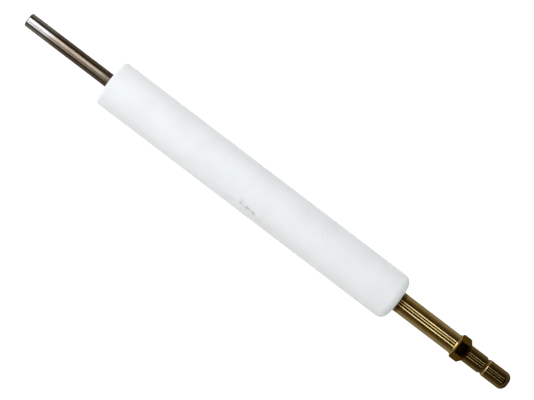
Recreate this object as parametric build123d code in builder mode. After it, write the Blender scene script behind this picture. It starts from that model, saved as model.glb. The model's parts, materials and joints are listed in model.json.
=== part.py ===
from build123d import *
import math
import os

# Flame sensor probe: an alloy rod held in a ceramic tube, with a push-on brass terminal on its cold end.
# It lies along X: the sensing tip points to -X and the terminal pin to +X. The origin is on the axis,
# halfway along the ceramic tube. All sizes are in millimetres.

# Ceramic tube
insulator_diameter = 17.0
insulator_length = 120.5
front_edge_radius = 1.2
rear_edge_radius = 3.2
mouth_chamfer = 0.3

# Sensing rod, and the ears pinched out of it that stop it at the floor of the front pocket
rod_diameter = 5.0
rod_reach = 34.6
rod_tip_chamfer = 0.3
rod_clearance = 0.25
ear_span = 8.0
ear_thickness = 2.4
ear_length = 3.0
shoulder_setback = 1.0

# Threaded rear end of the rod: M4, drawn as a plain cylinder of the thread's pitch diameter
thread_diameter = 3.55
thread_clearance = 0.03
thread_engagement = 9.0
thread_runout = 2.0
thread_end_chamfer = 0.4

# Front pocket, filled with refractory cement to just below the tube's face
front_pocket_depth = 8.0
ear_clearance = 0.5
cement_recess = 0.5

# Rear pocket, which holds the seat washer, the two disc springs and the end of the terminal's sleeve
rear_pocket_depth = 16.0
sleeve_clearance = 0.5

# Seat washer and disc springs
washer_clearance = 0.2
washer_bore = 4.5
seat_washer_thickness = 0.8
disc_thickness = 0.4
disc_dish = 0.25

# Brass terminal: sleeve, cove, hexagonal collar and grooved pin
sleeve_diameter = 7.2
sleeve_reach = 23.5
sleeve_end_chamfer = 0.3
cove_length = 1.3
hex_across_flats = 8.0
hex_corner_radius = 0.2
hex_length = 4.1
hex_chamfer_angle = 40.0
pin_diameter = 6.35
pin_length = 17.1
pin_end_radius = 2.2
groove_distance = 7.3
groove_depth = 0.5
groove_width = 1.5

# Radii
insulator_radius = insulator_diameter / 2
rod_radius = rod_diameter / 2
bore_radius = rod_radius + rod_clearance
front_pocket_radius = ear_span / 2 + ear_clearance
sleeve_radius = sleeve_diameter / 2
rear_pocket_radius = sleeve_radius + sleeve_clearance
washer_radius = rear_pocket_radius - washer_clearance
washer_bore_radius = washer_bore / 2
stud_radius = thread_diameter / 2
tapped_radius = stud_radius + thread_clearance
pin_radius = pin_diameter / 2
hex_half_width = hex_across_flats / 2
hex_corner_reach = hex_half_width / math.cos(math.radians(30))

# Stations along X, from the sensing tip to the end of the pin
front_face = -insulator_length / 2
rear_face = insulator_length / 2
rod_tip = front_face - rod_reach
cement_face = front_face + cement_recess
front_pocket_floor = front_face + front_pocket_depth
rear_pocket_floor = rear_face - rear_pocket_depth
rod_shoulder = rear_pocket_floor - shoulder_setback
seat_washer_rear = rear_pocket_floor + seat_washer_thickness
disc_height = disc_thickness + disc_dish
discs_middle = seat_washer_rear + disc_height
sleeve_front = discs_middle + disc_height
stud_end = sleeve_front + thread_engagement
tapped_end = stud_end + thread_runout
sleeve_rear = rear_face + sleeve_reach
hex_front = sleeve_rear + cove_length
hex_rear = hex_front + hex_length
groove_middle = hex_rear + groove_distance
pin_end = hex_rear + pin_length

os.makedirs("parts", exist_ok=True)


# Ceramic tube: a bore with a pocket at each end, and a rear edge that is much rounder than the front one
with BuildPart() as insulator:
    with BuildSketch(Plane.YZ.offset(front_face)):
        Circle(insulator_radius)
    extrude(amount=insulator_length)
    rims = insulator.edges().filter_by(GeomType.CIRCLE).sort_by(Axis.X)
    fillet(rims[0], front_edge_radius)
    fillet(rims[-1], rear_edge_radius)
    with Locations(Plane((front_face, 0, 0), z_dir=(-1, 0, 0))):
        CounterBoreHole(bore_radius, front_pocket_radius, front_pocket_depth)
    with Locations(Plane.YZ.offset(rear_face)):
        Hole(rear_pocket_radius, rear_pocket_depth)
    circles = insulator.edges().filter_by(GeomType.CIRCLE)
    front_mouth = circles.filter_by(lambda rim: math.isclose(rim.radius, front_pocket_radius)).sort_by(Axis.X)[0]
    rear_mouth = circles.filter_by(lambda rim: math.isclose(rim.radius, rear_pocket_radius)).sort_by(Axis.X)[-1]
    chamfer([front_mouth, rear_mouth], mouth_chamfer)
insulator.part.label = "insulator"
export_step(insulator.part, "parts/insulator.step")


# Sensing rod: chamfered tip, two pinched ears at the floor of the front pocket, threaded rear end
with BuildPart() as sensing_rod:
    with BuildSketch(Plane.YZ.offset(rod_tip)):
        Circle(rod_radius)
    extrude(amount=rod_shoulder - rod_tip)
    chamfer(sensing_rod.edges().filter_by(GeomType.CIRCLE).sort_by(Axis.X)[0], rod_tip_chamfer)
    with BuildSketch(Plane.YZ.offset(rod_shoulder)):
        Circle(stud_radius)
    extrude(amount=stud_end - rod_shoulder)
    chamfer(sensing_rod.edges().filter_by(GeomType.CIRCLE).sort_by(Axis.X)[-1], thread_end_chamfer)
    with BuildSketch(Plane.XY):
        with BuildLine():
            ear_ramp = Line((front_pocket_floor - ear_length, 0), (front_pocket_floor - ear_length / 3, ear_span / 2))
            ear_top = Line(ear_ramp @ 1, (front_pocket_floor, ear_span / 2))
            Line(ear_top @ 1, (front_pocket_floor, 0))
            Line((front_pocket_floor, 0), ear_ramp @ 0)
        make_face()
        mirror(about=Plane.XZ)
    extrude(amount=ear_thickness / 2, both=True)
sensing_rod.part.label = "sensing_rod"
export_step(sensing_rod.part, "parts/sensing_rod.step")


# Refractory cement, cast round the rod and its ears
with BuildPart() as front_cement:
    with BuildSketch(Plane.YZ.offset(cement_face)):
        Circle(front_pocket_radius)
    extrude(amount=front_pocket_floor - cement_face)
    add(sensing_rod.part, mode=Mode.SUBTRACT)
front_cement.part.label = "front_cement"
export_step(front_cement.part, "parts/front_cement.step")


# Flat washer on the floor of the rear pocket
with BuildPart() as seat_washer:
    with BuildSketch(Plane.YZ.offset(rear_pocket_floor)):
        Circle(washer_radius)
        Circle(washer_bore_radius, mode=Mode.SUBTRACT)
    extrude(amount=seat_washer_thickness)
seat_washer.part.label = "seat_washer"
export_step(seat_washer.part, "parts/seat_washer.step")


# Two disc springs, dished opposite ways. Their outer rims meet, and their inner rims press on the washer
# and on the end of the sleeve.
for label, inner_face, lean in (
    ("front_disc_spring", seat_washer_rear, 1),
    ("rear_disc_spring", sleeve_front, -1),
):
    with BuildPart() as disc_spring:
        with BuildSketch(Plane.XY):
            with BuildLine():
                Polyline(
                    (inner_face, washer_bore_radius),
                    (inner_face + lean * disc_dish, washer_radius),
                    (inner_face + lean * disc_height, washer_radius),
                    (inner_face + lean * disc_thickness, washer_bore_radius),
                    close=True,
                )
            make_face()
        revolve(axis=Axis.X)
    disc_spring.part.label = label
    export_step(disc_spring.part, f"parts/{label}.step")


# Brass terminal, turned in one piece from hexagonal bar
with BuildPart() as terminal:
    # Length of bar that keeps its flats, two of them facing up and down
    with BuildSketch(Plane.YZ.offset(sleeve_rear)) as bar_section:
        RegularPolygon(hex_half_width, side_count=6, major_radius=False)
        fillet(bar_section.vertices(), hex_corner_radius)
    extrude(amount=hex_rear - sleeve_rear)
    # The cove that the tool leaves in front of the flats, and the chamfer behind them
    with BuildSketch(Plane.XY):
        with BuildLine():
            bar_front = Line((sleeve_rear, 0), (sleeve_rear, sleeve_radius))
            cove = TangentArc(bar_front @ 1, (hex_front, hex_corner_reach), tangent=(1, 0))
            chamfer_start = hex_rear - (hex_corner_reach - pin_radius) * math.tan(math.radians(hex_chamfer_angle))
            bar_top = Line(cove @ 1, (chamfer_start, hex_corner_reach))
            bar_chamfer = Line(bar_top @ 1, (hex_rear, pin_radius))
            Polyline(bar_chamfer @ 1, (hex_rear, 0), bar_front @ 0)
        make_face()
    revolve(axis=Axis.X, mode=Mode.INTERSECT)
    # Sleeve
    with BuildSketch(Plane.YZ.offset(sleeve_front)):
        Circle(sleeve_radius)
    extrude(amount=sleeve_rear - sleeve_front)
    chamfer(terminal.edges().filter_by(GeomType.CIRCLE).sort_by(Axis.X)[0], sleeve_end_chamfer)
    # Pin with its rounded end
    with BuildSketch(Plane.YZ.offset(hex_rear)):
        Circle(pin_radius)
    extrude(amount=pin_length)
    fillet(terminal.edges().filter_by(GeomType.CIRCLE).sort_by(Axis.X)[-1], pin_end_radius)
    # V-groove for the snap ring of the lead's connector
    with BuildSketch(Plane.XY):
        with BuildLine():
            Polyline(
                (groove_middle, pin_radius - groove_depth),
                (groove_middle + groove_width / 2, pin_radius),
                (groove_middle + groove_width / 2, pin_radius + groove_depth),
                (groove_middle - groove_width / 2, pin_radius + groove_depth),
                (groove_middle - groove_width / 2, pin_radius),
                close=True,
            )
        make_face()
    revolve(axis=Axis.X, mode=Mode.SUBTRACT)
    # Tapped hole for the rod's thread
    with Locations(Plane((sleeve_front, 0, 0), z_dir=(-1, 0, 0))):
        Hole(tapped_radius, tapped_end - sleeve_front)
terminal.part.label = "terminal"
export_step(terminal.part, "parts/terminal.step")
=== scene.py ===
import json
import math

import bmesh
import bpy
from mathutils import Matrix, Vector


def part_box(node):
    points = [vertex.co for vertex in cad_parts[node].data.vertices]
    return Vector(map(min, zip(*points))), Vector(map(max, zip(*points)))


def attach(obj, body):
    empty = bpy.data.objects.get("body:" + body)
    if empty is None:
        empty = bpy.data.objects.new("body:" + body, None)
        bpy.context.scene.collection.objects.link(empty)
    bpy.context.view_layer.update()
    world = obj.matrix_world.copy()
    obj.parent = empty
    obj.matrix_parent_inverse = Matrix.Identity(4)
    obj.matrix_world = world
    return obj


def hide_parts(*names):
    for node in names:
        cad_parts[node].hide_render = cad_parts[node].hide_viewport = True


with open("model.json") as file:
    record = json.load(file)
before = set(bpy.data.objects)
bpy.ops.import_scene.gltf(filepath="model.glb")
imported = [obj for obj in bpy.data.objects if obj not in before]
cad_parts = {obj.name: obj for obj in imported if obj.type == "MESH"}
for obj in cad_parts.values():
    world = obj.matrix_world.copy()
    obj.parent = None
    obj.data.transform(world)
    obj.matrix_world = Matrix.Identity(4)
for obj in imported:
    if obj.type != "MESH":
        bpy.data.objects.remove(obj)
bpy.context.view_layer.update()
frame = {"nodes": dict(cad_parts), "record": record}

# A flame rod lying on a pale table: an alloy rod, a white ceramic tube and a turned brass terminal. It lies
# along X with the sensing tip at -X. Outlines are lists of (place along X, radius), in metres.

MM = 0.001

# Distances too small to see: for telling stations apart, for welding points and for dropping slivers
HAIR = 1e-6
WELD = 1e-7
SLIVER = 1e-8

# Ceramic tube, with one chip on its front rim. The chip's place is in turns round the tube.
FRONT_EDGE = 1.2 * MM
REAR_EDGE = 3.2 * MM
MOUTH_CHAMFER = 0.3 * MM
BORE_CLEARANCE = 0.25 * MM
SLEEVE_CLEARANCE = 0.5 * MM
CHIP_TURN = 0.38
CHIP_SIZE = 0.45 * MM
CHIP_DEPTH = 0.35 * MM
CHIP_UNDERCUT = 0.6
CHIP_ZONE = 2.4 * MM

# Rod, with its ears and thread. The ears slope over the given share of their length.
ROD_TIP_CHAMFER = 0.3 * MM
EAR_LENGTH = 3.0 * MM
EAR_THICKNESS = 2.4 * MM
EAR_RAMP = 0.67
SHOULDER_SETBACK = 1.0 * MM
THREAD_RADIUS = 2.0 * MM
THREAD_PITCH = 0.7 * MM
THREAD_DEPTH = 0.38 * MM
THREAD_LEAD = 0.5 * MM
THREAD_END_CHAMFER = 0.4 * MM

# Brass terminal, with the tool's spiral feed marks on its pin
SLEEVE_RADIUS = 3.6 * MM
SLEEVE_REACH = 23.5 * MM
SLEEVE_END_CHAMFER = 0.3 * MM
TAPPED_RADIUS = 2.05 * MM
TAPPED_RUNOUT = 2.0 * MM
COVE_LENGTH = 1.3 * MM
COLLAR_LENGTH = 4.1 * MM
COLLAR_CHAMFER = math.radians(40)
GROOVE_DISTANCE = 7.3 * MM
GROOVE_DEPTH = 0.5 * MM
GROOVE_WIDTH = 1.5 * MM
GROOVE_SHOULDER = 0.7 * MM
PIN_END_RADIUS = 2.2 * MM
FEED_PITCH = 0.36 * MM
FEED_DEPTH = 0.014 * MM
FEED_LEAD = 0.2 * MM

# Cement plug
CEMENT_GAP = 0.01 * MM
CEMENT_HOLLOW = 0.15 * MM
LUMP_HEIGHT = 0.22 * MM
LUMPS_PER_METRE = 1.1 / MM

# Points round each turned piece
TUBE_POINTS = 256
ROD_POINTS = 160
TERMINAL_POINTS = 192
CEMENT_POINTS = 96

# Sizes that the frame gives
tube_low, tube_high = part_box("insulator")
rod_low, rod_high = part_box("sensing_rod")
cement_low, cement_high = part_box("front_cement")
terminal_low, terminal_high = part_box("terminal")
mounts = {mount["name"]: mount for mount in frame["record"]["mounts"]}
TUBE_RADIUS = mounts["insulator_clamp"]["dims"]["r_mm"] * MM
PIN_RADIUS = mounts["terminal_pin"]["dims"]["r_mm"] * MM
ROD_RADIUS = rod_high.z
EAR_REACH = rod_high.y
POCKET_RADIUS = cement_high.z
HALF_FLATS = terminal_high.z
BAR_CORNER = terminal_high.y
TUBE_FRONT = tube_low.x
TUBE_REAR = tube_high.x
CEMENT_FACE = cement_low.x
FRONT_FLOOR = cement_high.x
REAR_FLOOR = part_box("seat_washer")[0].x
ROD_SHOULDER = REAR_FLOOR - SHOULDER_SETBACK
SLEEVE_START = terminal_low.x
SLEEVE_END = TUBE_REAR + SLEEVE_REACH
COLLAR_START = SLEEVE_END + COVE_LENGTH
COLLAR_END = COLLAR_START + COLLAR_LENGTH
GROOVE_MIDDLE = COLLAR_END + GROOVE_DISTANCE
PIN_END = terminal_high.x
REAR_POCKET_RADIUS = SLEEVE_RADIUS + SLEEVE_CLEARANCE


# --- Wires: node maths written as plain expressions --------------------------------------------------------

class Wire:
    """One output socket in a node tree. Arithmetic on wires adds its own Math nodes."""

    def __init__(self, tree, socket):
        self.tree = tree
        self.socket = socket

    def node(self, kind, settings=None, inputs=None, output=0):
        """Adds a node, its settings first, then its inputs by name or number, and gives one output."""
        new = self.tree.nodes.new(kind)
        for name, value in (settings or {}).items():
            if name == "stops":
                set_stops(new.color_ramp, value)
            else:
                setattr(new, name, value)
        for name, value in (inputs or {}).items():
            plug(self.tree, new.inputs[name], value)
        return Wire(self.tree, new.outputs[output])

    def maths(self, operation, *values):
        return self.node("ShaderNodeMath", {"operation": operation}, dict(enumerate(values)))

    def __add__(self, other):
        return self.maths("ADD", self, other)

    def __radd__(self, other):
        return self.maths("ADD", other, self)

    def __sub__(self, other):
        return self.maths("SUBTRACT", self, other)

    def __rsub__(self, other):
        return self.maths("SUBTRACT", other, self)

    def __mul__(self, other):
        return self.maths("MULTIPLY", self, other)

    def __rmul__(self, other):
        return self.maths("MULTIPLY", other, self)

    def __truediv__(self, other):
        return self.maths("DIVIDE", self, other)

    def __rtruediv__(self, other):
        return self.maths("DIVIDE", other, self)

    def __abs__(self):
        return self.maths("ABSOLUTE", self)

    def cos(self):
        return self.maths("COSINE", self)

    def sin(self):
        return self.maths("SINE", self)

    def least(self, other):
        return self.maths("MINIMUM", self, other)

    def most(self, other):
        return self.maths("MAXIMUM", self, other)

    def below(self, limit):
        return self.maths("LESS_THAN", self, limit)

    def above(self, limit):
        return self.maths("GREATER_THAN", self, limit)

    def saw(self, length=1.0):
        """The wire's place in its own repeat, from 0 up to length."""
        return self.maths("FLOORED_MODULO", self, length)

    def rise(self, low, high):
        """0 at low and 1 at high, smooth between. With low above high it falls instead."""
        inputs = {"Value": self, "From Min": low, "From Max": high}
        return self.node("ShaderNodeMapRange", {"interpolation_type": "SMOOTHSTEP"}, inputs)

    def fade(self):
        """1 at 0, and towards nothing as the wire grows."""
        return self.maths("EXPONENT", self * -1.0)

    def bell(self, middle, width):
        """1 at the middle, fading to nothing about two widths away."""
        offset = (self - middle) / width
        return (offset * offset).fade()


def plug(tree, socket, value):
    """Links a wire to a socket, or sets the socket to a plain value."""
    if isinstance(value, Wire):
        tree.links.new(value.socket, socket)
    else:
        socket.default_value = value


def set_stops(ramp, stops):
    """Gives a colour ramp its stops, as (place, colour) pairs."""
    while len(ramp.elements) < len(stops):
        ramp.elements.new(1.0)
    for element, (place, colour) in zip(ramp.elements, stops):
        element.position = place
        element.color = (*colour, 1.0)


# --- Materials ---------------------------------------------------------------------------------------------

class Finish:
    """A surface finish in the making: its tree, its shader, and the place on the piece in millimetres."""

    def __init__(self, name):
        self.material = bpy.data.materials.new(name)
        self.material.use_nodes = True
        self.tree = self.material.node_tree
        self.shader = self.tree.nodes["Principled BSDF"]
        start = Wire(self.tree, None)
        coordinates = start.node("ShaderNodeTexCoord", output="Object")
        self.place = self.scaled(coordinates, (1 / MM, 1 / MM, 1 / MM))
        self.x = self.place.node("ShaderNodeSeparateXYZ", None, {"Vector": self.place}, "X")
        self.y = self.place.node("ShaderNodeSeparateXYZ", None, {"Vector": self.place}, "Y")
        self.z = self.place.node("ShaderNodeSeparateXYZ", None, {"Vector": self.place}, "Z")

    def scaled(self, vector, scale):
        """A vector stretched by a Mapping node."""
        return vector.node("ShaderNodeMapping", None, {"Vector": vector, "Scale": scale})

    def noise(self, scale, detail=2.0, rough=0.5, stretch=(1.0, 1.0, 1.0)):
        """Cloudy noise from 0 to 1. Scale is in repeats a millimetre, before the stretch."""
        vector = self.scaled(self.place, stretch)
        inputs = {"Vector": vector, "Scale": scale, "Detail": detail, "Roughness": rough}
        return vector.node("ShaderNodeTexNoise", None, inputs, "Fac")

    def spots(self, scale):
        """Distance to the nearest of many scattered points, in cells. Scale is in cells a millimetre."""
        inputs = {"Vector": self.place, "Scale": scale}
        return self.place.node("ShaderNodeTexVoronoi", None, inputs, "Distance")

    def blend(self, share, first, second):
        """Mixes two colours, each a wire or a plain colour."""
        mixer = self.tree.nodes.new("ShaderNodeMix")
        mixer.data_type = "RGBA"
        plug(self.tree, mixer.inputs[0], share)
        for socket, colour in ((mixer.inputs[6], first), (mixer.inputs[7], second)):
            plug(self.tree, socket, colour if isinstance(colour, Wire) else (*colour, 1.0))
        return Wire(self.tree, mixer.outputs[2])

    def ramp(self, value, stops):
        """A colour for each value from 0 to 1."""
        return value.node("ShaderNodeValToRGB", {"stops": stops}, {"Fac": value}, "Color")

    def bump(self, height, distance, under=None):
        """A normal from a height of 0 to 1, where 1 stands the distance out."""
        inputs = {"Height": height, "Distance": distance}
        if under:
            inputs["Normal"] = under
        return height.node("ShaderNodeBump", None, inputs, "Normal")

    def done(self, **inputs):
        """Sets the shader's sockets, each by its name with _ for a space."""
        for name, value in inputs.items():
            plug(self.tree, self.shader.inputs[name.replace("_", " ")], value)
        return self.material


def matte_ceramic():
    """Sintered white alumina: chalky, faintly grained, with grey handling scuffs along one side."""
    finish = Finish("matte_ceramic")
    clouds = finish.noise(0.12, 3.0)
    grain = finish.noise(2.2, 3.0, 0.6)
    base = finish.blend(clouds.rise(0.35, 0.7), (0.828, 0.862, 0.895), (0.803, 0.832, 0.863))
    # The scuffs follow a line down the -Y side: a broken dark rub mark, a faint one before it, a crescent
    # above it, dots round it, and a soft smear below
    near_side = finish.y.below(0.0)
    scuff_turn = math.radians(44.0)
    line_z = TUBE_RADIUS / MM * math.cos(scuff_turn)
    wave = (finish.noise(0.45, 1.0) - 0.5) * 1.6
    near_line = (finish.z + wave * 0.35).bell(line_z, 0.26) * near_side
    rub = finish.x.bell(-1.0, 0.6) + (finish.x.bell(1.6, 1.1) + finish.x.bell(4.0, 0.8)) * 0.75
    rub = near_line * rub.least(1.0) * finish.noise(1.6, 2.0).rise(0.3, 0.55)
    faint = (finish.z + wave * 0.3).bell(line_z - 0.1, 0.35) * finish.x.bell(-4.1, 1.3) * near_side
    crescent = finish.z.bell(line_z + 0.75, 0.30) * finish.x.bell(-1.2, 0.8) * near_side
    dots = finish.z.bell(line_z - 0.2, 1.5) * finish.x.bell(0.8, 2.2) * near_side
    dots = dots * finish.spots(1.1).rise(0.28, 0.12)
    smear = finish.z.bell(line_z - 1.0, 1.3) * finish.x.bell(5.0, 6.0) * near_side
    smear = smear * finish.noise(0.5, 3.0).rise(0.25, 0.7)
    base = finish.blend(smear * 0.30, base, (0.66, 0.61, 0.63))
    base = finish.blend(faint * 0.22 + crescent * 0.40, base, (0.46, 0.50, 0.50))
    base = finish.blend(dots * 0.7, base, (0.30, 0.33, 0.34))
    base = finish.blend(rub * 0.85, base, (0.17, 0.175, 0.18))
    # Pin-prick specks all over
    specks = finish.spots(0.22).rise(0.075, 0.03) * finish.noise(0.2, 1.0).rise(0.5, 0.6)
    base = finish.blend(specks * 0.35, base, (0.35, 0.34, 0.32))
    pores = finish.spots(2.6)
    normal = finish.bump(grain * 0.6 + pores * 0.4, 0.012 * MM)
    return finish.done(Base_Color=base, Roughness=0.62 + grain * 0.15, Normal=normal, IOR=1.5)


def heat_tinted_alloy():
    """Drawn heat-resistant rod: bright at the tip, brown oxide towards the tube, mottled next to it."""
    finish = Finish("heat_tinted_alloy")
    from_tip = finish.x - rod_low.x / MM
    streaks = finish.noise(2.4, 3.0, 0.6, (0.10, 1.0, 1.0))
    patches = finish.noise(0.45, 3.0, 0.55, (0.5, 1.0, 1.0))
    tinted_length = 36.0
    tint = (from_tip + (patches - 0.5) * 9.0 + (streaks - 0.5) * 4.0) / tinted_length
    base = finish.ramp(tint, [
        (0.00, (0.41, 0.415, 0.42)),
        (0.20, (0.38, 0.38, 0.38)),
        (0.33, (0.25, 0.215, 0.18)),
        (0.50, (0.22, 0.178, 0.142)),
        (0.72, (0.23, 0.188, 0.152)),
        (0.88, (0.21, 0.175, 0.135)),
        (1.00, (0.15, 0.12, 0.095)),
    ])
    base = finish.blend(streaks.rise(0.45, 0.75) * 0.35, base, (0.10, 0.07, 0.05))
    # A mottled crust on the last few millimetres before the tube
    crust = from_tip.rise(29.0, 33.5)
    mottle = finish.noise(1.1, 3.0, 0.6)
    base = finish.blend(crust * mottle.rise(0.4, 0.65) * 0.8, base, (0.185, 0.145, 0.105))
    rough = 0.11 + streaks * 0.10 + from_tip.rise(6.0, 18.0) * 0.05 + crust * 0.16
    normal = finish.bump(finish.noise(5.0, 2.0, 0.6, (0.04, 1.0, 1.0)), 0.010 * MM)
    normal = finish.bump(mottle * crust, 0.05 * MM, normal)
    # The dark Specular_Tint dims the rod's grazing reflections: painted shade, standing in for the table's
    # reflection darkened by the rod's own shadow
    return finish.done(
        Base_Color=base, Metallic=1.0, Roughness=rough, Normal=normal, Specular_Tint=(0.40, 0.35, 0.30, 1.0),
        Coat_Weight=0.5, Coat_Roughness=0.12,
    )


def aged_brass():
    """Turned brass gone brown: fine rings on the sleeve, coarser ones on the dark pin, smooth dark flats."""
    finish = Finish("aged_brass")
    on_pin = finish.x.above(COLLAR_END / MM - 0.05)
    # The cove goes with the sleeve, almost to the flats
    on_sleeve = finish.x.below(SLEEVE_END / MM + 1.0)
    on_collar = 1 - on_pin.most(on_sleeve)
    patina = finish.noise(0.35, 4.0, 0.6)
    stains = finish.noise(1.4, 3.0, 0.6)
    rings = finish.noise(3.2, 3.0, 0.7, (1.0, 0.03, 0.03))
    base = finish.blend(patina.rise(0.3, 0.7), (0.42, 0.285, 0.055), (0.50, 0.35, 0.075))
    base = finish.blend(stains.rise(0.5, 0.75) * 0.35, base, (0.22, 0.13, 0.03))
    base = finish.blend(rings.rise(0.5, 0.8) * 0.2, base, (0.22, 0.14, 0.04))
    base = finish.blend(on_pin * 0.72, base, (0.125, 0.08, 0.018))
    base = finish.blend(on_collar * 0.85, base, (0.12, 0.066, 0.018))
    # Bare brass where connectors rub the groove's rear shoulder
    worn = finish.x.bell((GROOVE_MIDDLE + GROOVE_WIDTH / 2) / MM, 0.22)
    base = finish.blend(worn * 0.85, base, (0.85, 0.70, 0.38))
    # Painted shade where the sleeve goes into the tube: a darker base colour and less lacquer there,
    # standing in for the tube's shadow on the sleeve and the tube's dark reflection in it
    painted_shade_at_tube = finish.x.rise(TUBE_REAR / MM + 2.2, TUBE_REAR / MM + 1.2)
    base = finish.blend(painted_shade_at_tube * 0.6, base, (0.05, 0.033, 0.010))
    turned_rough = 0.12 + stains * 0.03 + rings * 0.02 - on_pin * 0.06
    rough = turned_rough * (1 - on_collar) + on_collar * 0.03
    # Lacquer on the sleeve and the pin, thinned next to the tube as part of the painted shade there
    lacquer_dimmed_by_painted_shade = on_sleeve * (1 - painted_shade_at_tube * 0.6) + on_pin * 0.4
    fine = finish.bump(rings * (1 - on_collar), 0.0006 * MM)
    coarse = finish.noise(1.5, 3.0, 0.7, (1.0, 0.06, 0.06)) * on_pin
    normal = finish.bump(coarse, 0.0035 * MM, fine)
    return finish.done(
        Base_Color=base, Metallic=1.0, Roughness=rough, Normal=normal, Specular_Tint=(0.75, 0.6, 0.4, 1.0),
        Coat_Weight=lacquer_dimmed_by_painted_shade, Coat_Roughness=0.07, Coat_IOR=1.95,
    )


def refractory_cement():
    """Cast cement: sandy, buff grey, with darker grit."""
    finish = Finish("refractory_cement")
    sand = finish.noise(3.0, 4.0, 0.65)
    grit = finish.spots(2.0).rise(0.3, 0.12)
    base = finish.blend(sand, (0.50, 0.46, 0.39), (0.68, 0.65, 0.58))
    base = finish.blend(grit * 0.5, base, (0.30, 0.27, 0.23))
    height = sand * 0.7 + finish.spots(1.3) * 0.3
    return finish.done(Base_Color=base, Roughness=0.92, Normal=finish.bump(height, 0.12 * MM))


def spring_steel():
    """Ground and blued spring steel for the washer and the disc springs."""
    finish = Finish("spring_steel")
    cloud = finish.noise(0.8, 3.0)
    grind = finish.noise(6.0, 2.0, 0.6, (1.0, 0.1, 1.0))
    base = finish.blend(cloud.rise(0.35, 0.65), (0.34, 0.33, 0.33), (0.22, 0.20, 0.21))
    rough = 0.3 + grind * 0.2
    return finish.done(Base_Color=base, Metallic=1.0, Roughness=rough, Normal=finish.bump(grind, 0.01 * MM))


# --- Turned pieces, by Geometry Nodes ----------------------------------------------------------------------

def run(start, end, step):
    """Points from start up to, not including, end, about a step apart."""
    (x0, r0), (x1, r1) = start, end
    count = max(1, round(math.hypot(x1 - x0, r1 - r0) / step))
    return [(x0 + (x1 - x0) * i / count, r0 + (r1 - r0) * i / count) for i in range(count)]


def runs(corners):
    """The outline through corners of (place along X, radius, step in mm from there to the next corner)."""
    points = []
    for (x0, r0, step), (x1, r1, _) in zip(corners, corners[1:]):
        points += run((x0, r0), (x1, r1), step * MM)
    return points + [corners[-1][:2]]


def arc(centre, radius, start, end, count):
    """Points round an arc, both ends included. Angles are in degrees, 0 towards +X and 90 outwards."""
    angles = [math.radians(start + (end - start) * i / count) for i in range(count + 1)]
    return [(centre[0] + radius * math.cos(a), centre[1] + radius * math.sin(a)) for a in angles]


def keep_on_points(tree, geometry, value, kind):
    """Stores a value on a curve's points. Gives the curve, then the value as the swept mesh holds it."""
    capture = tree.nodes.new("GeometryNodeCaptureAttribute")
    capture.domain = "POINT"
    capture.capture_items.new(kind, "Kept")
    plug(tree, capture.inputs[0], geometry)
    plug(tree, capture.inputs[1], value)
    return Wire(tree, capture.outputs[0]), Wire(tree, capture.outputs[1])


def turning_tree(name, rule, sizes):
    """A tree that turns an outline round X. The rule gives each point's place along X and its radius."""
    tree = bpy.data.node_groups.new(name, "GeometryNodeTree")
    face = tree.interface
    face.new_socket("Outline", in_out="INPUT", socket_type="NodeSocketGeometry")
    face.new_socket("Segments", in_out="INPUT", socket_type="NodeSocketInt")
    face.new_socket("Material", in_out="INPUT", socket_type="NodeSocketMaterial")
    for size in sizes:
        face.new_socket(size, in_out="INPUT", socket_type="NodeSocketFloat")
    face.new_socket("Piece", in_out="OUTPUT", socket_type="NodeSocketGeometry")
    entry = tree.nodes.new("NodeGroupInput")
    given = {socket.name: Wire(tree, socket) for socket in entry.outputs if socket.name}
    start = given["Outline"]

    rib = start.node("GeometryNodeMeshToCurve", None, {0: start})
    rib, station = keep_on_points(tree, rib, start.node("GeometryNodeInputPosition"), "VECTOR")
    count = given["Segments"]
    hoop = start.node("GeometryNodeCurvePrimitiveCircle", {"mode": "RADIUS"}, {"Resolution": count})
    hoop, turn = keep_on_points(tree, hoop, start.node("GeometryNodeInputIndex") / count, "FLOAT")
    swept = start.node("GeometryNodeCurveToMesh", None, {"Curve": hoop, "Profile Curve": rib})
    along = start.node("ShaderNodeSeparateXYZ", None, {"Vector": station}, "X")
    radius = start.node("ShaderNodeSeparateXYZ", None, {"Vector": station}, "Y")
    along, radius = rule(along, radius, turn, given)

    angle = turn * math.tau
    axes = {"X": along, "Y": radius * angle.cos(), "Z": radius * angle.sin()}
    place = start.node("ShaderNodeCombineXYZ", None, axes)
    placed = start.node("GeometryNodeSetPosition", None, {"Geometry": swept, "Position": place})
    welded = start.node("GeometryNodeMergeByDistance", None, {"Geometry": placed, "Distance": WELD})
    whole = start.node("GeometryNodeRealizeInstances", None, {"Geometry": welded})
    shown = start.node("GeometryNodeSetMaterial", None, {"Geometry": whole, "Material": given["Material"]})
    leave = tree.nodes.new("NodeGroupOutput")
    plug(tree, leave.inputs["Piece"], shown)
    return tree


def turned(name, rule, sizes, points, closed, segments, material, sharp=math.radians(25)):
    """Makes a turned piece from its outline, as a plain closed mesh with its normals outwards."""
    mesh = bpy.data.meshes.new(name + "_outline")
    edges = [(i, i + 1) for i in range(len(points) - 1)]
    if closed:
        edges.append((len(points) - 1, 0))
    mesh.from_pydata([(x, r, 0.0) for x, r in points], edges, [])
    blank = bpy.data.objects.new(name + "_outline", mesh)
    bpy.context.scene.collection.objects.link(blank)
    tree = turning_tree(name + "_rule", rule, sizes)
    modifier = blank.modifiers.new("turning", "NODES")
    modifier.node_group = tree
    given = {"Segments": segments, "Material": material, **sizes}
    for item in tree.interface.items_tree:
        if item.name in given:
            modifier[item.identifier] = given[item.name]
    finished = bpy.data.meshes.new_from_object(blank.evaluated_get(bpy.context.evaluated_depsgraph_get()))
    blank.modifiers.remove(modifier)
    bpy.data.objects.remove(blank)
    piece = bpy.data.objects.new(name, finished)
    finished.name = name
    bpy.context.scene.collection.objects.link(piece)
    close_and_smooth(piece, sharp)
    return piece


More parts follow.
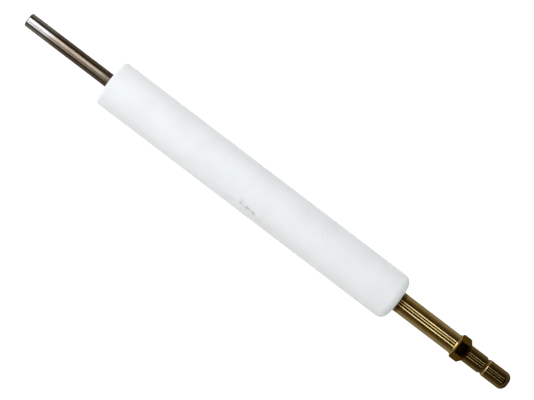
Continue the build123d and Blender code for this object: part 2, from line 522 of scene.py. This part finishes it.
def close_and_smooth(piece, sharp):
    """Recalculates the normals outwards and shades smooth, with edges sharper than the angle kept crisp."""
    work = bmesh.new()
    work.from_mesh(piece.data)
    bmesh.ops.dissolve_degenerate(work, dist=SLIVER, edges=work.edges)
    bmesh.ops.recalc_face_normals(work, faces=work.faces)
    work.to_mesh(piece.data)
    work.free()
    piece.data.shade_smooth()
    piece.data.set_sharp_from_angle(angle=sharp)


def chipped_rim(along, radius, turn, given):
    """Takes one small shell-shaped chip off the tube's front rim."""
    sideways = (turn - given["Chip Turn"]) * math.tau * radius / given["Chip Size"]
    back = (along - given["Rim"]) / given["Chip Size"]
    hollow = (sideways * sideways + back * back).fade() * radius.above(given["Skin"]) * given["Chip Depth"]
    return along + hollow * CHIP_UNDERCUT, radius - hollow


def ears_and_thread(along, radius, turn, given):
    """Pinches two ears out of the rod and cuts a single-start thread on its rear end."""
    angle = turn * math.tau
    ramp = (along - given["Ear End"] + given["Ear Length"]) / (given["Ear Length"] * EAR_RAMP)
    reach = ramp.least(1.0).most(0.0) * given["Ear Reach"]
    never_zero = 0.001
    tip = reach / abs(angle.cos()).most(never_zero)
    flank = given["Ear Thickness"] * 0.5 / abs(angle.sin()).most(never_zero)
    fin = tip.least(flank) * along.below(given["Ear End"] + HAIR)
    ridge = abs(((along - given["Thread Start"]) / given["Pitch"] - turn).saw() * 2.0 - 1.0)
    cut = given["Thread Radius"] - ridge * given["Thread Depth"]
    behind = along.above(given["Thread Start"])
    threaded = behind * radius.least(cut) + (1 - behind) * radius
    return along, threaded.most(fin)


def flats_and_feed_marks(along, radius, turn, given):
    """Leaves six flats on the collar, and the tool's spiral feed marks on the pin behind it."""
    sixth = math.tau / 6
    off_flat = (turn * math.tau).saw(sixth) - sixth / 2
    bar = (given["Half Flats"] / off_flat.cos()).least(given["Corner"])
    collar = along.above(given["Collar From"]) * along.below(given["Collar To"])
    faced = collar * radius.least(bar) + (1 - collar) * radius
    scallop = abs((along / given["Feed Pitch"] - turn).saw() * 2.0 - 1.0)
    pin = along.above(given["Pin From"]) * along.below(given["Pin To"]) * radius.above(given["Pin Skin"])
    return along, faced - pin * scallop * given["Feed Depth"]


def lumpy_face(along, radius, turn, given):
    """Gives the cement's front face the lumps of a hand-filled plug."""
    angle = turn * math.tau
    place = along.node("ShaderNodeCombineXYZ", None, {"X": radius * angle.cos(), "Y": radius * angle.sin()})
    inputs = {"Vector": place, "Scale": given["Lump Scale"], "Detail": 3.0}
    lumps = along.node("ShaderNodeTexNoise", None, inputs, "Fac") - 0.5
    front = along.below(given["Face"] + HAIR)
    return along + front * lumps * given["Lump Height"], radius


def ceramic_tube(material):
    """Front rim nearly sharp, rear rim well rounded, with the bore and a pocket at each end."""
    bore = ROD_RADIUS + BORE_CLEARANCE
    front = arc((TUBE_FRONT + FRONT_EDGE, TUBE_RADIUS - FRONT_EDGE), FRONT_EDGE, 180, 90, 12)
    rear = arc((TUBE_REAR - REAR_EDGE, TUBE_RADIUS - REAR_EDGE), REAR_EDGE, 90, 0, 16)
    near_front = (TUBE_FRONT + CHIP_ZONE, TUBE_RADIUS)
    points = run((TUBE_FRONT, POCKET_RADIUS + MOUTH_CHAMFER), front[0], 0.5 * MM)
    points += front[:-1]
    points += run(front[-1], near_front, 0.15 * MM)
    points += run(near_front, rear[0], 2 * MM)
    points += rear[:-1]
    inside = [
        rear[-1],
        (TUBE_REAR, REAR_POCKET_RADIUS + MOUTH_CHAMFER),
        (TUBE_REAR - MOUTH_CHAMFER, REAR_POCKET_RADIUS),
        (REAR_FLOOR, REAR_POCKET_RADIUS),
        (REAR_FLOOR, bore),
        (FRONT_FLOOR, bore),
        (FRONT_FLOOR, POCKET_RADIUS),
        (TUBE_FRONT + MOUTH_CHAMFER, POCKET_RADIUS),
        (TUBE_FRONT, POCKET_RADIUS + MOUTH_CHAMFER),
    ]
    for start, end in zip(inside, inside[1:]):
        points += run(start, end, 3 * MM)
    sizes = {
        "Rim": TUBE_FRONT,
        "Chip Turn": CHIP_TURN,
        "Chip Size": CHIP_SIZE,
        "Chip Depth": CHIP_DEPTH,
        "Skin": TUBE_RADIUS - FRONT_EDGE,
    }
    return turned("ceramic_tube", chipped_rim, sizes, points, True, TUBE_POINTS, material)


def flame_rod(material):
    """Chamfered tip, plain rod, ears at the floor of the front pocket, threaded rear end."""
    thread_end = rod_high.x
    ear_start = FRONT_FLOOR - EAR_LENGTH
    past_ears = FRONT_FLOOR + 0.02 * MM
    corners = [
        (rod_low.x, 0.0, 0.8),
        (rod_low.x, ROD_RADIUS - ROD_TIP_CHAMFER, 0.2),
        (rod_low.x + ROD_TIP_CHAMFER, ROD_RADIUS, 1.0),
        (ear_start, ROD_RADIUS, 0.15),
        (FRONT_FLOOR, ROD_RADIUS, 0.02),
        (past_ears, ROD_RADIUS, 2.0),
        (ROD_SHOULDER, ROD_RADIUS, 0.4),
        (ROD_SHOULDER, THREAD_RADIUS, 0.07),
        (thread_end - THREAD_END_CHAMFER, THREAD_RADIUS, 0.07),
        (thread_end, THREAD_RADIUS - THREAD_END_CHAMFER, 0.8),
        (thread_end, 0.0, 0.0),
    ]
    sizes = {
        "Ear End": FRONT_FLOOR,
        "Ear Length": EAR_LENGTH,
        "Ear Reach": EAR_REACH,
        "Ear Thickness": EAR_THICKNESS,
        "Thread Start": ROD_SHOULDER + THREAD_LEAD,
        "Thread Radius": THREAD_RADIUS,
        "Pitch": THREAD_PITCH,
        "Thread Depth": THREAD_DEPTH,
    }
    outline = runs(corners)
    return turned("flame_rod", ears_and_thread, sizes, outline, False, ROD_POINTS, material)


def brass_terminal(material):
    """Sleeve with its tapped hole, cove, hexagonal collar, and the grooved pin with a rounded end."""
    tapped_end = rod_high.x + TAPPED_RUNOUT
    climb = BAR_CORNER - SLEEVE_RADIUS
    cove_radius = (COVE_LENGTH ** 2 + climb ** 2) / (2 * climb)
    sweep = math.degrees(math.asin(COVE_LENGTH / cove_radius))
    cove = arc((SLEEVE_END, SLEEVE_RADIUS + cove_radius), cove_radius, 270, 270 + sweep, 26)
    chamfer_start = COLLAR_END - (BAR_CORNER - PIN_RADIUS) * math.tan(COLLAR_CHAMFER)
    nose = arc((PIN_END - PIN_END_RADIUS, PIN_RADIUS - PIN_END_RADIUS), PIN_END_RADIUS, 90, 0, 18)
    half = GROOVE_WIDTH / 2
    slope = math.degrees(math.atan2(GROOVE_DEPTH, half))
    tangent = GROOVE_SHOULDER * math.tan(math.radians(slope / 2))
    centre = (GROOVE_MIDDLE + half + tangent, PIN_RADIUS - GROOVE_SHOULDER)
    shoulder = arc(centre, GROOVE_SHOULDER, 90 + slope, 90, 8)
    corners = [
        (tapped_end, 0.0, 1.0),
        (tapped_end, TAPPED_RADIUS, 2.0),
        (SLEEVE_START, TAPPED_RADIUS, 0.5),
        (SLEEVE_START, SLEEVE_RADIUS - SLEEVE_END_CHAMFER, 0.3),
        (SLEEVE_START + SLEEVE_END_CHAMFER, SLEEVE_RADIUS, 1.5),
        (*cove[0], 0.02),
        *[(x, r, 1.0) for x, r in cove[1:-1]],
        (*cove[-1], 0.1),
        (chamfer_start, BAR_CORNER, 0.04),
        (COLLAR_END, PIN_RADIUS, 0.09),
        (GROOVE_MIDDLE - half, PIN_RADIUS, 0.08),
        (GROOVE_MIDDLE, PIN_RADIUS - GROOVE_DEPTH, 0.08),
        *[(x, r, 1.0) for x, r in shoulder[:-1]],
        (*shoulder[-1], 0.09),
        (*nose[0], 1.0),
        *[(x, r, 1.0) for x, r in nose[1:-1]],
        (*nose[-1], 0.4),
        (PIN_END, 0.0, 0.0),
    ]
    sizes = {
        "Half Flats": HALF_FLATS,
        "Corner": BAR_CORNER,
        "Collar From": SLEEVE_END - HAIR,
        "Collar To": COLLAR_END - HAIR,
        "Feed Pitch": FEED_PITCH,
        "Feed Depth": FEED_DEPTH,
        "Pin From": COLLAR_END + FEED_LEAD,
        "Pin To": PIN_END - PIN_END_RADIUS,
        "Pin Skin": PIN_RADIUS - 0.1 * MM,
    }
    outline = runs(corners)
    return turned("brass_terminal", flats_and_feed_marks, sizes, outline, False, TERMINAL_POINTS, material)


def cement_plug(material):
    """Fills the front pocket round the rod, with a slightly hollow, lumpy face."""
    inner = ROD_RADIUS + CEMENT_GAP
    outer = POCKET_RADIUS - CEMENT_GAP
    floor = FRONT_FLOOR - EAR_LENGTH
    rows = 12
    face = []
    for row in range(rows + 1):
        across = row / rows
        sag = CEMENT_HOLLOW * (1 - (2 * across - 1) ** 2)
        face.append((CEMENT_FACE + sag, inner + (outer - inner) * across))
    points = face[:]
    points += run(face[-1], (floor, outer), 1 * MM)
    points += run((floor, outer), (floor, inner), 1 * MM)
    points += run((floor, inner), face[0], 1 * MM)
    sizes = {"Face": CEMENT_FACE + CEMENT_HOLLOW, "Lump Scale": LUMPS_PER_METRE, "Lump Height": LUMP_HEIGHT}
    return turned("cement_plug", lumpy_face, sizes, points, True, CEMENT_POINTS, material, math.radians(50))


# --- Table, light and camera -------------------------------------------------------------------------------

CAMERA_ALONG = 5.1 * MM
CAMERA_ASIDE = 0.23 * MM
CAMERA_HEIGHT = 600 * MM
CAMERA_TURN = math.radians(37.30)
STRIP_HEIGHT = 600 * MM


def mirrored(along):
    """Where a light at strip height stands to show in polished metal at a place along the probe."""
    return along + (along - CAMERA_ALONG) * STRIP_HEIGHT / CAMERA_HEIGHT


def table_top():
    """A plain pale table that the tube lies on. Polished metal does not mirror it, as under a light tent."""
    finish = Finish("pale_table")
    cloud = finish.noise(0.004, 2.0)
    base = finish.blend(cloud, (0.36, 0.36, 0.36), (0.39, 0.39, 0.39))
    white = (1.0, 1.0, 1.0, 1.0)
    material = finish.done(Base_Color=base, Roughness=0.9, Emission_Color=white, Emission_Strength=0.74)
    reach = 6.0
    mesh = bpy.data.meshes.new("table_top")
    corners = [(-reach, -reach), (reach, -reach), (reach, reach), (-reach, reach)]
    mesh.from_pydata([(x, y, -TUBE_RADIUS) for x, y in corners], [], [(0, 1, 2, 3)])
    mesh.materials.append(material)
    table = bpy.data.objects.new("table_top", mesh)
    bpy.context.scene.collection.objects.link(table)
    table.visible_glossy = False


def backdrop():
    """A pale wall round the table, seen from the side only."""
    material = bpy.data.materials.new("pale_wall")
    material.use_nodes = True
    start = Wire(material.node_tree, None)
    glow = start.node("ShaderNodeEmission", None, {"Color": (0.93, 0.93, 0.94, 1.0), "Strength": 1.0})
    plug(material.node_tree, material.node_tree.nodes["Material Output"].inputs["Surface"], glow)
    work = bmesh.new()
    reach = 5.0
    bmesh.ops.create_cone(work, cap_ends=False, segments=64, radius1=reach, radius2=reach, depth=2 * reach)
    mesh = bpy.data.meshes.new("backdrop")
    work.to_mesh(mesh)
    work.free()
    mesh.materials.append(material)
    wall = bpy.data.objects.new("backdrop", mesh)
    bpy.context.scene.collection.objects.link(wall)
    wall.visible_glossy = False
    wall.visible_diffuse = False
    wall.visible_shadow = False


def panel(name, place, aim, size, radiance, colour=(1.0, 1.0, 1.0)):
    """A flat light of the given size and brightness at a place, facing its aim."""
    data = bpy.data.lights.new(name, "AREA")
    data.shape = "RECTANGLE"
    data.size, data.size_y = size
    data.energy = radiance * math.pi * size[0] * size[1]
    data.color = colour
    light = bpy.data.objects.new(name, data)
    toward = (Vector(aim) - Vector(place)).normalized()
    side = Vector((1.0, 0.0, 0.0))
    across = toward.cross(side).normalized()
    side = across.cross(toward)
    light.matrix_world = Matrix.Translation(place) @ Matrix((side, -across, -toward)).transposed().to_4x4()
    light.visible_camera = False
    bpy.context.scene.collection.objects.link(light)
    return light


def studio():
    """Soft light over the tip, narrow lights over the terminal, an even fill, and a room that is dark
    overhead and has low windows beyond both ends of the probe."""
    for name, start, end, low_angle, high_angle, radiance in (
        ("tip_softbox", -0.6, -0.10, -10.0, 34.0, 2.5),
        ("tip_softbox_side", -0.6, mirrored(-83 * MM), -50.0, -12.0, 1.6),
        ("rod_softbox_side", mirrored(-82 * MM), -0.10, -40.0, -12.0, 0.40),
    ):
        low_y = STRIP_HEIGHT * math.tan(math.radians(low_angle))
        high_y = STRIP_HEIGHT * math.tan(math.radians(high_angle))
        x, y = (start + end) / 2, (low_y + high_y) / 2
        panel(name, (x, y, STRIP_HEIGHT), (x, y, 0.0), (end - start, high_y - low_y), radiance)

    sleeve_lights = (mirrored(TUBE_REAR + 1.8 * MM), mirrored(SLEEVE_END + 0.2 * MM))
    pin_lights = (mirrored(COLLAR_END + 0.8 * MM), mirrored(PIN_END))
    for name, (start, end), degrees, width, radiance in (
        ("upper_strip", sleeve_lights, 27.0, 0.120, 2.3),
        ("middle_strip", sleeve_lights, 1.0, 0.110, 1.8),
        ("lower_strip", sleeve_lights, -30.0, 0.125, 2.4),
        ("upper_pin_strip", pin_lights, 26.0, 0.028, 0.32),
        ("lower_pin_strip", pin_lights, -24.0, 0.026, 0.13),
    ):
        lean = math.radians(degrees)
        place = ((start + end) / 2, STRIP_HEIGHT * math.sin(lean), STRIP_HEIGHT * math.cos(lean))
        panel(name, place, (place[0], 0.0, 0.0), (end - start, width), radiance)

    fill_along, fill_height, fill_size = 0.25, 1.3, 2.8
    place, below = (fill_along, 0.0, fill_height), (fill_along, 0.0, 0.0)
    fill = panel("overhead_fill", place, below, (fill_size, fill_size), 0.615, (0.92, 0.975, 1.0))
    fill.visible_glossy = False

    world = bpy.data.worlds.new("dim_room")
    bpy.context.scene.world = world
    world.cycles.sampling_method = "NONE"
    world.use_nodes = True
    tree = world.node_tree
    background = tree.nodes["Background"]
    sky = Wire(tree, background.outputs[0])
    direction = sky.node("ShaderNodeTexCoord", output="Generated")
    up = sky.node("ShaderNodeSeparateXYZ", None, {"Vector": direction}, "Z")
    glow = up.node("ShaderNodeValToRGB", {"stops": [
        (0.00, (0.40, 0.39, 0.37)),
        (0.44, (0.37, 0.35, 0.31)),
        (0.58, (0.19, 0.165, 0.13)),
        (0.78, (0.12, 0.095, 0.062)),
        (0.92, (0.03, 0.023, 0.014)),
        (1.00, (0.01, 0.008, 0.005)),
    ]}, {"Fac": up * 0.5 + 0.5}, "Color")
    along = up.node("ShaderNodeSeparateXYZ", None, {"Vector": direction}, "X")
    low_windows = abs(along).rise(0.3, 0.6) * up.bell(0.4, 0.25)
    plug(tree, background.inputs["Color"], glow)
    plug(tree, background.inputs["Strength"], 1 - along.rise(0.35, 0.8) * 0.6 + low_windows * 1.8)


def look_down():
    """A camera straight above the probe's middle, turned so that the probe runs down to the right."""
    data = bpy.data.cameras.new("camera")
    width_seen = 0.1785
    data.lens = data.sensor_width * CAMERA_HEIGHT / width_seen
    camera = bpy.data.objects.new("camera", data)
    camera.location = (CAMERA_ALONG, CAMERA_ASIDE, CAMERA_HEIGHT)
    camera.rotation_euler = (0.0, 0.0, CAMERA_TURN)
    bpy.context.scene.collection.objects.link(camera)
    bpy.context.scene.camera = camera
    bpy.context.scene.view_settings.view_transform = "Standard"
    bpy.context.scene.view_settings.look = "Medium High Contrast"


# --- The probe ---------------------------------------------------------------------------------------------

def main():
    ceramic = matte_ceramic()
    alloy = heat_tinted_alloy()
    brass = aged_brass()
    cement = refractory_cement()
    steel = spring_steel()
    for piece, node, slot in (
        (ceramic_tube(ceramic), "insulator", "ceramic"),
        (flame_rod(alloy), "sensing_rod", "rod_alloy"),
        (brass_terminal(brass), "terminal", "brass"),
        (cement_plug(cement), "front_cement", "cement"),
    ):
        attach(piece, "root")
        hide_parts(node)
    for node in ("seat_washer", "front_disc_spring", "rear_disc_spring"):
        frame["nodes"][node].data.materials.clear()
        frame["nodes"][node].data.materials.append(steel)
    table_top()
    backdrop()
    studio()
    look_down()


main()
